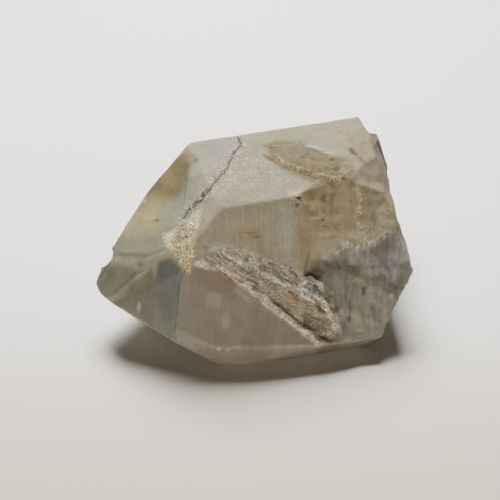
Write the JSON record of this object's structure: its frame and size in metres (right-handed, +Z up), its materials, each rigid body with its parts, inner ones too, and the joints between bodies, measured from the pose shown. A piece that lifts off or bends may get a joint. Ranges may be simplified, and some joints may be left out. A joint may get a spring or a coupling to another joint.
{
  "type": "quartz with actinolite specimen",
  "caption": "Greyish translucent quartz crystal with a healed tip, a broken base end and dark actinolite grown into one edge.",
  "frame": {"origin": "on the surface the stone rests on, below the middle of its bounding box", "axes": "+X along the length, from the tip end towards the broken base end, with the crystal axis turned 16.5 degrees from it; +Z up from the face it rests on"},
  "size_m": [0.0502, 0.0407, 0.0264],
  "materials": {
    "quartz": "satin"
  },
  "bodies": {
    "root": {"quartz_crystal": "quartz"}
  },
  "joints": []
}
